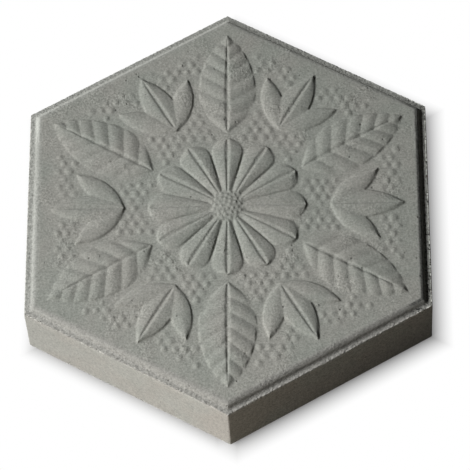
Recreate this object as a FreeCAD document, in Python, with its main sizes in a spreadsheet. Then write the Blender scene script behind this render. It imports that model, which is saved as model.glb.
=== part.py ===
import FreeCAD, Part

import os

import Sketcher
from FreeCAD import Placement, Rotation, Vector

# A hexagonal floor tile pressed from concrete in one piece, lying on its flat back.
# The frame has +Z up, the origin at the centre of the back, two corners on the Y axis
# and two flats square to the X axis. All lengths are millimetres, all angles degrees.
#
# From the floor up the tile is a plain hexagonal slab, a narrow flat ledge round its rim,
# and a raised panel with a rounded shoulder. Low relief stands on the panel: a domed boss,
# a ring of petals round it, a ribbed leaf towards each corner, and towards each flat
# a bud between two sepals.
#
# Sketches are drawn near their places; their constraints and the sheet then set them exactly.

SIZES = [
    ("across_flats", 250.0, "slab, from one flat side to the opposite one"),
    ("ledge_height", 39.0, "back to the ledge"),
    ("ledge_width", 4.1, "outer edge to the foot of the panel"),
    ("panel_rise", 3.0, "ledge to the face of the panel"),
    ("shoulder_radius", 3.2, "rounding of the panel's rim, down to the ledge"),
    ("arris_radius", 0.4, "rounding of the ledge's outer edge"),
    ("relief_root", 1.0, "depth to which the relief is rooted in the panel"),
    ("boss_radius", 13.0, "boss, at the face of the panel"),
    ("boss_rise", 2.9, "boss, above the face of the panel"),
    ("petal_count", 12, "petals round the boss"),
    ("flower_radius", 49.0, "centre of the tile to a petal's tip"),
    ("petal_gap_angle", 2.6, "free angle between two petals"),
    ("petal_rise", 2.3, "petal's crest above the panel"),
    ("petal_edge", 0.9, "petal's edge above the panel"),
    ("leaf_gap", 5.0, "petal tips to a leaf's base"),
    ("leaf_margin", 9.0, "leaf's tip to the corner of the panel's face"),
    ("leaf_width", 35.0, "leaf at its widest"),
    ("leaf_rise", 2.5, "leaf's crest above the panel"),
    ("leaf_edge", 0.9, "leaf's edge above the panel"),
    ("rib_width", 2.2, "groove along the middle of a leaf, bud or petal"),
    ("rib_depth", 0.9, "depth of that groove"),
    ("vein_count", 5, "side veins on each half of a leaf"),
    ("vein_first", 6.0, "leaf's base to its first side vein"),
    ("vein_last", 27.0, "root of the last side vein to the leaf's tip"),
    ("vein_angle", 48.0, "side vein against the middle of the leaf"),
    ("vein_width", 1.7, "width of a side vein at its deepest"),
    ("vein_depth", 0.6, "depth of a side vein below a straight line between its ends"),
    ("bud_gap", 15.0, "petal tips to a bud's base"),
    ("bud_margin", 8.0, "bud's tip to the flat edge of the panel's face"),
    ("bud_width", 19.0, "bud at its widest"),
    ("bud_rise", 2.3, "bud's crest above the panel"),
    ("bud_edge", 0.9, "bud's edge above the panel"),
    ("sepal_length", 39.0, "sepal"),
    ("sepal_width", 13.0, "sepal at its widest"),
    ("sepal_angle", 40.0, "sepal against the bud between the two"),
    ("sepal_rise", 1.9, "sepal's crest above the panel"),
    ("sepal_edge", 0.8, "sepal's edge above the panel"),
]
SHEET = "Sizes"

# Formulas over the sheet, for the sizes that follow from the ones above.
PANEL_TOP = "({0}.ledge_height + {0}.panel_rise)".format(SHEET)
ROOT_LEVEL = "({0} - {1}.relief_root)".format(PANEL_TOP, SHEET)
SLAB_CORNER = "({0}.across_flats / sqrt(3))".format(SHEET)
SHOULDER_WIDTH = (
    "sqrt({0}.shoulder_radius ^ 2 - max({0}.shoulder_radius - {0}.panel_rise; 0) ^ 2)".format(SHEET)
)
ARRIS = "min({0}.arris_radius; 0.5 * {0}.ledge_width)".format(SHEET)
FACE_APOTHEM = "({0}.across_flats / 2 - {0}.ledge_width - {1})".format(SHEET, SHOULDER_WIDTH)
PANEL_CORNER = "(({1} + {0}.shoulder_radius) * 2 / sqrt(3))".format(SHEET, FACE_APOTHEM)
PANEL_DEPTH = "max({0}.shoulder_radius; {0}.panel_rise)".format(SHEET)
LEAF_BASE = "({0}.flower_radius + {0}.leaf_gap)".format(SHEET)
LEAF_TIP = "({0} * 2 / sqrt(3) - {1}.leaf_margin)".format(FACE_APOTHEM, SHEET)
BUD_BASE = "({0}.flower_radius + {0}.bud_gap)".format(SHEET)
BUD_TIP = "({0} - {1}.bud_margin)".format(FACE_APOTHEM, SHEET)
PETAL_HALF_ANGLE = "(180 / {0}.petal_count - {0}.petal_gap_angle / 2)".format(SHEET)
PETAL_ARC_CENTRE = "({0}.flower_radius / (1 + sin({1})))".format(SHEET, PETAL_HALF_ANGLE)

CORNER_ANGLES = (90, 150, 210, 270, 330, 30)
LEAF_WIDEST = 0.42  # share of a leaf's or bud's length from its base to its widest place
SEPAL_WIDEST = 0.5  # the same share of a sepal
PETAL_FOOT = 0.8  # share of the boss's radius at which the petals start, under the boss
COVER = 3.0  # how far a cut reaches past the edges of what it cuts
PANEL_ROOT = 1.0  # how far the panel's body reaches into the slab below its shoulder
RIB_INSET = 0.04  # share of a motif's length left plain at each end of its rib


def size(name):
    """The formula for one named size of the sheet."""
    return "{}.{}".format(SHEET, name)


def make_sheet(doc):
    """The driving dimensions, each cell named by its alias."""
    sheet = doc.addObject("Spreadsheet::Sheet", SHEET)
    for row, (alias, value, meaning) in enumerate(SIZES, start=1):
        sheet.set("A{}".format(row), meaning)
        sheet.set("B{}".format(row), str(value))
        sheet.setAlias("B{}".format(row), alias)
    doc.recompute()
    return sheet


def new_body(doc, label):
    body = doc.addObject("PartDesign::Body", label)
    body.Label = label
    return body


def origin_feature(body, role):
    """One of the body's own origin planes or axes."""
    return next(f for f in body.Origin.OriginFeatures if f.Role == role)


def new_sketch(body, name, plane):
    sketch = body.newObject("Sketcher::SketchObject", name)
    support = plane if plane in body.Group else origin_feature(body, plane)
    sketch.AttachmentSupport = [(support, "")]
    sketch.MapMode = "FlatFace"
    return sketch


def bind(sketch, kind, expression, *where, start=1.0):
    """Adds one dimension to a sketch and binds it to a formula."""
    index = sketch.addConstraint(Sketcher.Constraint(kind, *where, start))
    sketch.setExpression("Constraints[{}]".format(index), expression)


def lay_flat(sketch, level, x="0", turn="0"):
    """Moves a sketch on the XY plane up to a level, out along X and round by an angle."""
    sketch.AttachmentOffset = Placement(Vector(), Rotation(Vector(0, 0, 1), 1))
    sketch.setExpression("AttachmentOffset.Base.x", x)
    sketch.setExpression("AttachmentOffset.Base.z", level)
    sketch.setExpression("AttachmentOffset.Rotation.Angle", turn)


def stand_up(sketch, x="0", y="0", turn="0"):
    """Moves an upright sketch on the XZ plane to a point of the plan and turns it about Z."""
    sketch.AttachmentOffset = Placement(Vector(), Rotation(Vector(0, 1, 0), 1))
    sketch.setExpression("AttachmentOffset.Base.x", x)
    sketch.setExpression("AttachmentOffset.Base.z", "-({})".format(y))
    sketch.setExpression("AttachmentOffset.Rotation.Angle", turn)


def closed_polygon(sketch, points):
    """Lines through the points in turn, joined end to end, and the index of the first."""
    first = sketch.GeometryCount
    count = len(points)
    for i in range(count):
        sketch.addGeometry(Part.LineSegment(points[i], points[(i + 1) % count]), False)
    for i in range(count):
        following = first + (i + 1) % count
        sketch.addConstraint(Sketcher.Constraint("Coincident", first + i, 2, following, 1))
    return first


def hexagon(body, name, corner_radius, level, start_radius):
    """A regular hexagon with two corners on the Y axis."""
    sketch = new_sketch(body, name, "XY_Plane")
    lay_flat(sketch, level)
    corners = [Rotation(Vector(0, 0, 1), a).multVec(Vector(start_radius, 0, 0)) for a in CORNER_ANGLES]
    first = closed_polygon(sketch, corners)
    circle = sketch.addGeometry(Part.Circle(Vector(), Vector(0, 0, 1), start_radius), True)
    sketch.addConstraint(Sketcher.Constraint("Coincident", circle, 3, -1, 1))
    for i in range(len(corners)):
        sketch.addConstraint(Sketcher.Constraint("PointOnObject", first + i, 1, circle))
    for i in range(1, len(corners)):
        sketch.addConstraint(Sketcher.Constraint("Equal", first, first + i))
    sketch.addConstraint(Sketcher.Constraint("PointOnObject", first, 1, -2))
    bind(sketch, "Radius", corner_radius, circle, start=start_radius)
    return sketch


def pad(body, name, sketch, length):
    feature = body.newObject("PartDesign::Pad", name)
    feature.Profile = sketch
    feature.setExpression("Length", length)
    return feature


def turned(body, kind, name, sketch, angle=None):
    """A Revolution or Groove of a sketch about its own construction line."""
    feature = body.newObject("PartDesign::" + kind, name)
    feature.Profile = sketch
    feature.ReferenceAxis = (sketch, ["Axis0"])
    if angle is None:
        feature.Angle = 360
    else:
        feature.Midplane = True
        feature.setExpression("Angle", angle)
    return feature


def rim_edges(shape, level, apothem):
    """Names of the straight edges that lie at a level and just at an apothem."""
    names = []
    for number, edge in enumerate(shape.Edges, start=1):
        middle = edge.CenterOfMass
        at_level = all(abs(v.Z - level) < 1e-4 for v in edge.Vertexes)
        if at_level and abs(Vector(middle.x, middle.y, 0).Length - apothem) < 1e-3:
            names.append("Edge{}".format(number))
    return names


def rounded(body, name, base, level, apothem, radius):
    """A fillet on the hexagonal rim at a level."""
    feature = body.newObject("PartDesign::Fillet", name)
    feature.Base = (base, rim_edges(base.Shape, level, apothem))
    feature.setExpression("Radius", radius)
    return feature


def make_slab(doc, sheet):
    """The hexagonal slab up to the ledge, with its blunted outer edge."""
    body = new_body(doc, "slab")
    outline = hexagon(body, "slab_outline", SLAB_CORNER, "0", 140.0)
    slab = pad(body, "slab_pad", outline, size("ledge_height"))
    doc.recompute()
    rounded(body, "arris", slab, sheet.ledge_height, sheet.across_flats / 2, ARRIS)
    doc.recompute()
    return body


def make_panel(doc, sheet):
    """The raised panel, its shoulder rounded down to the ledge, with its lower part in the slab."""
    body = new_body(doc, "panel")
    depth = "({} + {})".format(PANEL_DEPTH, PANEL_ROOT)
    outline = hexagon(body, "panel_outline", PANEL_CORNER, "{} - {}".format(PANEL_TOP, depth), 138.0)
    panel = pad(body, "panel_pad", outline, depth)
    doc.recompute()
    face = sheet.ledge_height + sheet.panel_rise
    middle = outline.Shape.Edges[0].CenterOfMass
    apothem = Vector(middle.x, middle.y, 0).Length
    rounded(body, "shoulder", panel, face, apothem, size("shoulder_radius"))
    doc.recompute()
    return body


def make_boss(doc):
    """The domed boss in the middle: a cap of a sphere on a short root."""
    body = new_body(doc, "boss")
    sketch = new_sketch(body, "boss_profile", "XZ_Plane")
    rise = size("boss_rise")
    radius = size("boss_radius")
    sphere = "(({1} ^ 2 + {0} ^ 2) / (2 * {0}))".format(rise, radius)
    arc = Part.ArcOfCircle(Part.Circle(Vector(0, 10, 0), Vector(0, 0, 1), 33), 1.17, 1.5707)
    dome = sketch.addGeometry(arc, False)
    axis_edge = sketch.addGeometry(Part.LineSegment(Vector(0, 43, 0), Vector(0, 40, 0)), False)
    foot = sketch.addGeometry(Part.LineSegment(Vector(0, 40, 0), Vector(13, 40, 0)), False)
    side = sketch.addGeometry(Part.LineSegment(Vector(13, 40, 0), Vector(13, 41, 0)), False)
    axis = sketch.addGeometry(Part.LineSegment(Vector(0, 0, 0), Vector(0, 20, 0)), True)
    for a, b, c, d in (
        (dome, 2, axis_edge, 1),
        (axis_edge, 2, foot, 1),
        (foot, 2, side, 1),
        (side, 2, dome, 1),
    ):
        sketch.addConstraint(Sketcher.Constraint("Coincident", a, b, c, d))
    sketch.addConstraint(Sketcher.Constraint("PointOnObject", axis_edge, 1, -2))
    sketch.addConstraint(Sketcher.Constraint("PointOnObject", axis_edge, 2, -2))
    sketch.addConstraint(Sketcher.Constraint("PointOnObject", dome, 3, -2))
    sketch.addConstraint(Sketcher.Constraint("Horizontal", foot))
    sketch.addConstraint(Sketcher.Constraint("Vertical", side))
    sketch.addConstraint(Sketcher.Constraint("Coincident", axis, 1, -1, 1))
    sketch.addConstraint(Sketcher.Constraint("PointOnObject", axis, 2, -2))
    sketch.addConstraint(Sketcher.Constraint("DistanceY", axis, 1, axis, 2, 20))
    bind(sketch, "DistanceX", radius, -1, 1, foot, 2, start=13)
    bind(sketch, "DistanceY", ROOT_LEVEL, -1, 1, foot, 1, start=40)
    bind(sketch, "DistanceY", PANEL_TOP, -1, 1, side, 2, start=41)
    bind(sketch, "Radius", sphere, dome, start=33)
    turned(body, "Revolution", "boss_dome", sketch)
    return body


def teardrop_outline(body, name, half_angle, inner, centre):
    """A petal in plan: two sides that point at the tile's centre, and a round tip."""
    sketch = new_sketch(body, name, "XY_Plane")
    lay_flat(sketch, ROOT_LEVEL)
    left = sketch.addGeometry(Part.LineSegment(Vector(10, 2.4, 0), Vector(38, 9.2, 0)), False)
    tip = Part.ArcOfCircle(Part.Circle(Vector(40, 0, 0), Vector(0, 0, 1), 9.4), -1.8, 1.8)
    tip = sketch.addGeometry(tip, False)
    right = sketch.addGeometry(Part.LineSegment(Vector(38, -9.2, 0), Vector(10, -2.4, 0)), False)
    back = sketch.addGeometry(Part.LineSegment(Vector(10, -2.4, 0), Vector(10, 2.4, 0)), False)
    sketch.addConstraint(Sketcher.Constraint("Coincident", right, 2, back, 1))
    sketch.addConstraint(Sketcher.Constraint("Coincident", back, 2, left, 1))
    sketch.addConstraint(Sketcher.Constraint("Tangent", left, 2, tip, 2))
    sketch.addConstraint(Sketcher.Constraint("Tangent", tip, 1, right, 1))
    sketch.addConstraint(Sketcher.Constraint("Vertical", back))
    sketch.addConstraint(Sketcher.Constraint("PointOnObject", tip, 3, -1))
    sketch.addConstraint(Sketcher.Constraint("PointOnObject", -1, 1, left))
    sketch.addConstraint(Sketcher.Constraint("PointOnObject", -1, 1, right))
    bind(sketch, "Angle", half_angle, -1, 1, left, 1, start=0.23)
    bind(sketch, "DistanceX", inner, -1, 1, left, 1, start=10)
    bind(sketch, "DistanceX", centre, -1, 1, tip, 3, start=40)
    return sketch


def pointed_outline(body, name, length, width, widest, x, turn):
    """A leaf in plan, from its base at a point of the X axis: two arcs on each side."""
    sketch = new_sketch(body, name, "XY_Plane")
    lay_flat(sketch, ROOT_LEVEL, x, turn)
    points = {1: Vector(20, 9, 0), -1: Vector(20, -9, 0)}
    base, tip = Vector(0, 0, 0), Vector(48, 0, 0)
    ends = []
    for side in (1, -1):
        near = Part.Arc(base, Vector(9, 6.4 * side, 0), points[side])
        far = Part.Arc(points[side], Vector(35, 6.3 * side, 0), tip)
        ends.append((sketch.addGeometry(near, False), sketch.addGeometry(far, False)))
    (near_a, far_a), (near_b, far_b) = ends
    # An arc runs counter-clockwise, so on the upper side it starts at the far end.
    for a, b, c, d in (
        (near_a, 1, far_a, 2),
        (near_b, 2, far_b, 1),
        (near_a, 2, near_b, 1),
        (far_a, 1, far_b, 2),
    ):
        sketch.addConstraint(Sketcher.Constraint("Coincident", a, b, c, d))
    sketch.addConstraint(Sketcher.Constraint("Coincident", near_a, 2, -1, 1))
    sketch.addConstraint(Sketcher.Constraint("PointOnObject", far_a, 1, -1))
    sketch.addConstraint(Sketcher.Constraint("Symmetric", near_a, 1, near_b, 2, -1))
    for arc, end in ((near_a, 1), (far_a, 2), (near_b, 2), (far_b, 1)):
        sketch.addConstraint(Sketcher.Constraint("Vertical", arc, 3, arc, end))
    bind(sketch, "DistanceX", length, -1, 1, far_a, 1, start=48)
    bind(sketch, "DistanceX", "{} * {}".format(length, widest), -1, 1, near_a, 1, start=20)
    bind(sketch, "DistanceY", "{} / 2".format(width), -1, 1, near_a, 1, start=9)
    return sketch


def arc_radius(chord, rise):
    """Formula for the radius of an arc from its chord and the rise over it."""
    return "((({0}) ^ 2 / 4 + ({1}) ^ 2) / (2 * ({1})))".format(chord, rise)


def stand_across(sketch, distance, x, turn):
    """Stands a sketch upright across a line that starts on the X axis and is turned about Z."""
    along_x = "{} + {} * cos({})".format(x, distance, turn)
    along_y = "{} * sin({})".format(distance, turn)
    stand_up(sketch, along_x, along_y, "{} + 90".format(turn))


def round_the_top(body, name, start, length, width, rise, edge, x="0", turn="0"):
    """Cuts a motif's top to a roof that is arched both ways: along it and across it."""
    fall = "({} - {})".format(rise, edge)
    along = arc_radius(length, fall)
    across = arc_radius(width, fall)
    crest = "({} + {})".format(PANEL_TOP, rise)
    sketch = new_sketch(body, name + "_profile", "XZ_Plane")
    stand_across(sketch, "({} + {} / 2)".format(start, length), x, turn)
    arc = Part.Arc(Vector(20, 41, 0), Vector(0, 43, 0), Vector(-20, 41, 0))
    arc = sketch.addGeometry(arc, False)
    left = sketch.addGeometry(Part.LineSegment(Vector(-20, 41, 0), Vector(-20, 46, 0)), False)
    top = sketch.addGeometry(Part.LineSegment(Vector(-20, 46, 0), Vector(20, 46, 0)), False)
    right = sketch.addGeometry(Part.LineSegment(Vector(20, 46, 0), Vector(20, 41, 0)), False)
    axis = sketch.addGeometry(Part.LineSegment(Vector(-20, -350, 0), Vector(20, -350, 0)), True)
    for a, b, c, d in ((arc, 2, left, 1), (left, 2, top, 1), (top, 2, right, 1), (right, 2, arc, 1)):
        sketch.addConstraint(Sketcher.Constraint("Coincident", a, b, c, d))
    for line in (left, right):
        sketch.addConstraint(Sketcher.Constraint("Vertical", line))
    sketch.addConstraint(Sketcher.Constraint("Symmetric", arc, 1, arc, 2, -2))
    sketch.addConstraint(Sketcher.Constraint("Horizontal", top))
    sketch.addConstraint(Sketcher.Constraint("PointOnObject", arc, 3, -2))
    sketch.addConstraint(Sketcher.Constraint("Symmetric", axis, 1, axis, 2, -2))
    bind(sketch, "Radius", across, arc, start=96)
    bind(sketch, "DistanceY", "{} - {}".format(crest, across), -1, 1, arc, 3, start=-53)
    bind(sketch, "DistanceX", "{} + {}".format(width, 2 * COVER), arc, 2, arc, 1, start=40)
    bind(sketch, "DistanceY", "{} + {}".format(crest, COVER), -1, 1, top, 1, start=46)
    bind(sketch, "DistanceY", "{} - {}".format(crest, along), -1, 1, axis, 1, start=-350)
    bind(sketch, "DistanceX", width, axis, 1, axis, 2, start=40)
    sweep = "2 * asin(({} / 2 + {}) / {})".format(length, COVER, along)
    return turned(body, "Groove", name, sketch, sweep)


def cut_valley(body, name, plane, apex, mouth, axis_level, width, depth, angle, place):
    """Cuts a V groove: a triangle from its apex to its mouth is turned about a level axis."""
    flare = "{0} / 2 * ({1} + {2}) / {1}".format(width, depth, COVER)
    sketch = new_sketch(body, name + "_profile", plane)
    stand_across(sketch, *place)
    valley = closed_polygon(sketch, [Vector(0, 42, 0), Vector(5, 46, 0), Vector(-5, 46, 0)])
    axis = sketch.addGeometry(Part.LineSegment(Vector(-5, 200, 0), Vector(5, 200, 0)), True)
    sketch.addConstraint(Sketcher.Constraint("PointOnObject", valley, 1, -2))
    sketch.addConstraint(Sketcher.Constraint("Symmetric", valley + 1, 1, valley + 2, 1, -2))
    sketch.addConstraint(Sketcher.Constraint("Symmetric", axis, 1, axis, 2, -2))
    bind(sketch, "DistanceY", apex, -1, 1, valley, 1, start=42)
    bind(sketch, "DistanceY", mouth, -1, 1, valley + 1, 1, start=46)
    bind(sketch, "DistanceX", flare, -1, 1, valley + 1, 1, start=5)
    bind(sketch, "DistanceY", axis_level, -1, 1, axis, 1, start=200)
    bind(sketch, "DistanceX", width, axis, 1, axis, 2, start=10)
    return turned(body, "Groove", name, sketch, angle)


def cut_rib(body, name, start, length, rise, edge, x="0", turn="0"):
    """Cuts the groove along the middle of a motif, equally deep below its crest all the way."""
    along = arc_radius(length, "({} - {})".format(rise, edge))
    crest = "({} + {})".format(PANEL_TOP, rise)
    width, depth = size("rib_width"), size("rib_depth")
    apex = "{} - {}".format(crest, depth)
    mouth = "{} + {}".format(crest, COVER)
    axis_level = "{} - {}".format(crest, along)
    sweep = "2 * asin({} * {} / {})".format(length, 0.5 - RIB_INSET, along)
    place = ("({} + {} / 2)".format(start, length), x, turn)
    return cut_valley(body, name, "XZ_Plane", apex, mouth, axis_level, width, depth, sweep, place)


def ring(doc, label, body, count, first_angle):
    """Linked copies of a body, evenly spaced round the tile's centre."""
    copies = doc.addObject("App::Link", label)
    copies.Label = label
    copies.LinkedObject = body
    copies.ShowElement = False
    copies.ElementCount = count
    turns = [first_angle + 360 * i / count for i in range(count)]
    copies.PlacementList = [Placement(Vector(), Rotation(Vector(0, 0, 1), turn)) for turn in turns]
    return copies


def make_petal(doc):
    """One petal of the ring round the boss, arched, with a groove down its middle."""
    body = new_body(doc, "petal")
    inner = "({} * {})".format(size("boss_radius"), PETAL_FOOT)
    length = "({} - {})".format(size("flower_radius"), inner)
    width = "(2 * {} * sin({}))".format(PETAL_ARC_CENTRE, PETAL_HALF_ANGLE)
    rise, edge = size("petal_rise"), size("petal_edge")
    outline = teardrop_outline(body, "petal_outline", PETAL_HALF_ANGLE, inner, PETAL_ARC_CENTRE)
    pad(body, "petal_pad", outline, "{} + {}".format(size("relief_root"), rise))
    round_the_top(body, "petal_roof", inner, length, width, rise, edge)
    cut_rib(body, "petal_rib", inner, length, rise, edge)
    return body


def vein_station(body, length, along):
    """A datum plane along the leaf, swung about the roof's axis back to the first side vein."""
    plane = body.newObject("PartDesign::Plane", "vein_station")
    plane.AttachmentSupport = [(origin_feature(body, "XZ_Plane"), "")]
    plane.MapMode = "FlatFace"
    plane.AttachmentOffset = Placement(Vector(), Rotation(Vector(0, 0, 1), 1))
    roof_axis = "{} + {} - {}".format(PANEL_TOP, size("leaf_rise"), along)
    plane.setExpression("AttachmentOffset.Base.x", "{} + {} / 2".format(LEAF_BASE, length))
    plane.setExpression("AttachmentOffset.Base.y", roof_axis)
    plane.setExpression("AttachmentOffset.Rotation.Angle", swing(length, size("vein_first"), along))
    return plane


def swing(length, distance, along):
    """Formula for the angle about the roof's axis from mid-length to a distance from one end."""
    return "asin(({} / 2 - {}) / {})".format(length, distance, along)


def cut_veins(body, length, rise, roof_profile):
    """Cuts the side veins, from the rib out over the leaf's edge, as a sharp-rimmed wheel would."""
    fall = "({} - {})".format(rise, size("leaf_edge"))
    along, across = arc_radius(length, fall), arc_radius(size("leaf_width"), fall)
    station = vein_station(body, length, along)
    depth, slant = size("vein_depth"), "sin({})".format(size("vein_angle"))
    # A vein starts inside the rib, just past its middle, and ends clear of the leaf's edge.
    start = "({} / 4 / {})".format(size("rib_width"), slant)
    reach = "({} + ({} / 2 + {}) / {})".format(start, size("leaf_width"), COVER, slant)
    drop = "({0} - sqrt({0} ^ 2 - ({1} * {2}) ^ 2))".format(across, reach, slant)
    wheel = arc_radius(reach, depth)
    lean = "atan({} / {})".format(drop, reach)
    hub = "({} / 2 + ({} - {}) * sin({}) - {})".format(reach, wheel, depth, lean, start)
    axis_level = "({} - {} / 2 + ({} - {}) * cos({}))".format(along, drop, wheel, depth, lean)
    # Its section is drawn at the top of the wheel, to keep the wheel's seam out of the leaf.
    apex = "({} + {})".format(axis_level, wheel)
    mouth = "({} - {} - {})".format(apex, depth, COVER)
    width = size("vein_width")
    spread = "{} + {}".format(
        swing(length, size("vein_first"), along), swing(length, size("vein_last"), along)
    )
    for side, word in ((1, "left"), (-1, "right")):
        place = (hub, "0", "({} * {})".format(side, size("vein_angle")))
        vein = cut_valley(body, "vein_" + word, station, apex, mouth, axis_level, width, depth, None, place)
        rows = body.newObject("PartDesign::PolarPattern", "veins_" + word)
        rows.Originals = [vein]
        rows.Axis = (roof_profile, ["Axis0"])
        rows.setExpression("Angle", spread)
        rows.setExpression("Occurrences", size("vein_count"))
        body.Tip = rows


def make_leaf(doc):
    """A pointed leaf with a rib and side veins, as it lies along the X axis."""
    body = new_body(doc, "leaf")
    length = "({} - {})".format(LEAF_TIP, LEAF_BASE)
    width, rise, edge = size("leaf_width"), size("leaf_rise"), size("leaf_edge")
    outline = pointed_outline(body, "leaf_outline", length, width, LEAF_WIDEST, LEAF_BASE, "0")
    pad(body, "leaf_pad", outline, "{} + {}".format(size("relief_root"), rise))
    roof = round_the_top(body, "leaf_roof", "0", length, width, rise, edge, x=LEAF_BASE)
    cut_rib(body, "leaf_rib", "0", length, rise, edge, x=LEAF_BASE)
    cut_veins(body, length, rise, roof.Profile[0])
    return body


def make_bud(doc):
    """A bud that points to a flat side of the tile."""
    body = new_body(doc, "bud")
    length = "({} - {})".format(BUD_TIP, BUD_BASE)
    width, rise, edge = size("bud_width"), size("bud_rise"), size("bud_edge")
    outline = pointed_outline(body, "bud_outline", length, width, LEAF_WIDEST, BUD_BASE, "0")
    pad(body, "bud_pad", outline, "{} + {}".format(size("relief_root"), rise))
    round_the_top(body, "bud_roof", "0", length, width, rise, edge, x=BUD_BASE)
    cut_rib(body, "bud_rib", "0", length, rise, edge, x=BUD_BASE)
    return body


def make_sepals(doc):
    """The two sepals beside a bud, spread from the bud's own base."""
    body = new_body(doc, "sepals")
    length, width, turn = size("sepal_length"), size("sepal_width"), size("sepal_angle")
    rise, edge = size("sepal_rise"), size("sepal_edge")
    outline = pointed_outline(body, "sepal_outline", length, width, SEPAL_WIDEST, BUD_BASE, turn)
    pad(body, "sepal_pad", outline, "{} + {}".format(size("relief_root"), rise))
    round_the_top(body, "sepal_roof", "0", length, width, rise, edge, x=BUD_BASE, turn=turn)
    before = body.Tip
    pair = body.newObject("PartDesign::Mirrored", "sepal_pair")
    pair.TransformMode = "Whole shape"
    pair.Originals = [before]
    pair.MirrorPlane = (origin_feature(body, "XZ_Plane"), [""])
    body.Tip = pair
    return body


def check(doc):
    """Stops at a feature that failed or a shape that is null or not valid."""
    for thing in doc.Objects:
        if "Invalid" in thing.State or "Error" in thing.State:
            raise RuntimeError("{} failed: {}".format(thing.Name, thing.State))
        solid = thing.isDerivedFrom("PartDesign::Body") or thing.isDerivedFrom("Part::MultiFuse")
        if solid and (thing.Shape.isNull() or not thing.Shape.isValid()):
            raise RuntimeError("{} has no valid shape".format(thing.Name))


def main():
    doc = FreeCAD.newDocument("hexagon_tile")
    sheet = make_sheet(doc)
    corners = len(CORNER_ANGLES)
    tile = doc.addObject("Part::MultiFuse", "tile")
    tile.Label = "tile"
    tile.Shapes = [
        make_slab(doc, sheet),
        make_panel(doc, sheet),
        make_boss(doc),
        ring(doc, "petals", make_petal(doc), int(sheet.petal_count), 0),
        ring(doc, "leaves", make_leaf(doc), corners, CORNER_ANGLES[0]),
        ring(doc, "buds", make_bud(doc), corners, 0),
        ring(doc, "all_sepals", make_sepals(doc), corners, 0),
    ]
    doc.recompute()
    check(doc)
    os.makedirs("parts", exist_ok=True)
    tile.Shape.exportStep("parts/{}.step".format(tile.Label))
    box = tile.Shape.optimalBoundingBox(False, False)
    print("solids", len(tile.Shape.Solids), "faces", len(tile.Shape.Faces))
    print("size", round(box.XLength, 2), round(box.YLength, 2), round(box.ZLength, 2))
    print("volume in litres", round(tile.Shape.Volume / 1e6, 4))


main()
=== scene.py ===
import math
import random

import bmesh
import bpy
from mathutils import Euler, Matrix, Vector
from mathutils.bvhtree import BVHTree


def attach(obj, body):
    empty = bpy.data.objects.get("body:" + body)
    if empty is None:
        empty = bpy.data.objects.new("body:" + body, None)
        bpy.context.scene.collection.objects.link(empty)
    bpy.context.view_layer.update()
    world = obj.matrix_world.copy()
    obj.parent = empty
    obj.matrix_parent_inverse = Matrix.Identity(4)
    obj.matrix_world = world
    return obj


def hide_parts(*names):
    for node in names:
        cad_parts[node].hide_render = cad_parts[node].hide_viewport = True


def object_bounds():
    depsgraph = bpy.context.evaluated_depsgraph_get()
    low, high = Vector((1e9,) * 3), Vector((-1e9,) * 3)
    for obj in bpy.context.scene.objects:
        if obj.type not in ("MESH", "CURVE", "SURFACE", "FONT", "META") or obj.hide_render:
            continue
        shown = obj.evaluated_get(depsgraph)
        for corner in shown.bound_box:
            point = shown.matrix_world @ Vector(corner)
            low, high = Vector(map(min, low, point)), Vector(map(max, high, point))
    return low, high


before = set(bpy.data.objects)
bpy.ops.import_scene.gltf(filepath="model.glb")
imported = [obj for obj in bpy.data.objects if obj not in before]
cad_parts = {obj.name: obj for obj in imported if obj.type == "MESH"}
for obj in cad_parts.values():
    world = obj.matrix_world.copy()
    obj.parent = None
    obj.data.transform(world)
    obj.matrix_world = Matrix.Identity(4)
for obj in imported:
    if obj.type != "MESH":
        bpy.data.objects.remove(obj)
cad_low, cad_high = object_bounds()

# A hexagonal floor tile pressed from concrete: slab, ledge, raised panel and low relief in one
# piece. Lengths are metres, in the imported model's frame: +Z up, corners on Y, flats on X.

MM = 0.001

# The slab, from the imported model's box and the ledge's own sizes.
HALF_FLATS = cad_high.x
CORNER_RADIUS = HALF_FLATS * 2 / math.sqrt(3)
LEDGE_HEIGHT = 39.0 * MM
LEDGE_WIDTH = 4.1 * MM
PANEL_RISE = 3.0 * MM
SHOULDER = 3.2 * MM
SHOULDER_FOOT = HALF_FLATS - LEDGE_WIDTH
RIGHT_STRETCH = 1.15  # how far the shoulder is drawn out on the right
SHOULDER_SEGMENTS = 12
ARRIS = 0.3 * MM
ARRIS_SEGMENTS = 3
PANEL_TOP = LEDGE_HEIGHT + PANEL_RISE
FACE_APOTHEM = SHOULDER_FOOT - math.sqrt(SHOULDER ** 2 - (SHOULDER - PANEL_RISE) ** 2)
PANEL_SLIP = -0.35 * MM  # the panel and its relief sit this far to the front on the slab
ROOT = 1.5 * MM  # how deep a motif reaches into the panel
CAP_ROOT = 0.3 * MM  # and how deep a bead or seed does
FOOT = 1.0 * MM  # below the floor, cut off once the skin is made
TINY = 0.01 * MM

# The relief.
FLOWER_RADIUS = 49.0 * MM
PETALS = 12
PETAL_GAP_ANGLE = math.radians(2.6)
PETAL_RISE = 2.3 * MM
PETAL_EDGE = 0.9 * MM
PETAL_RIB = 0.22  # half the rib's width, as a share of the motif's half width
PETAL_GRID = (48, 28)
BOSS_RADIUS = 13.0 * MM
BOSS_RISE = 2.4 * MM
BOSS_GRID = (96, 64)
PETAL_BASE = 0.8 * BOSS_RADIUS
SEED_COUNT = 42
SEED_RADIUS = 1.15 * MM
SEED_RISE = 0.55 * MM
SEED_GRID = (24, 10)
SEEDED_SHARE = 0.86  # of the boss's radius
MOTIFS = 6
HALF_STEP = math.radians(30)
LEAF_BASE = FLOWER_RADIUS + 5.0 * MM
LEAF_TIP = FACE_APOTHEM * 2 / math.sqrt(3) - 9.0 * MM
LEAF_WIDTH = 35.0 * MM
LEAF_RISE = 2.5 * MM
LEAF_EDGE = 0.9 * MM
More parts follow.
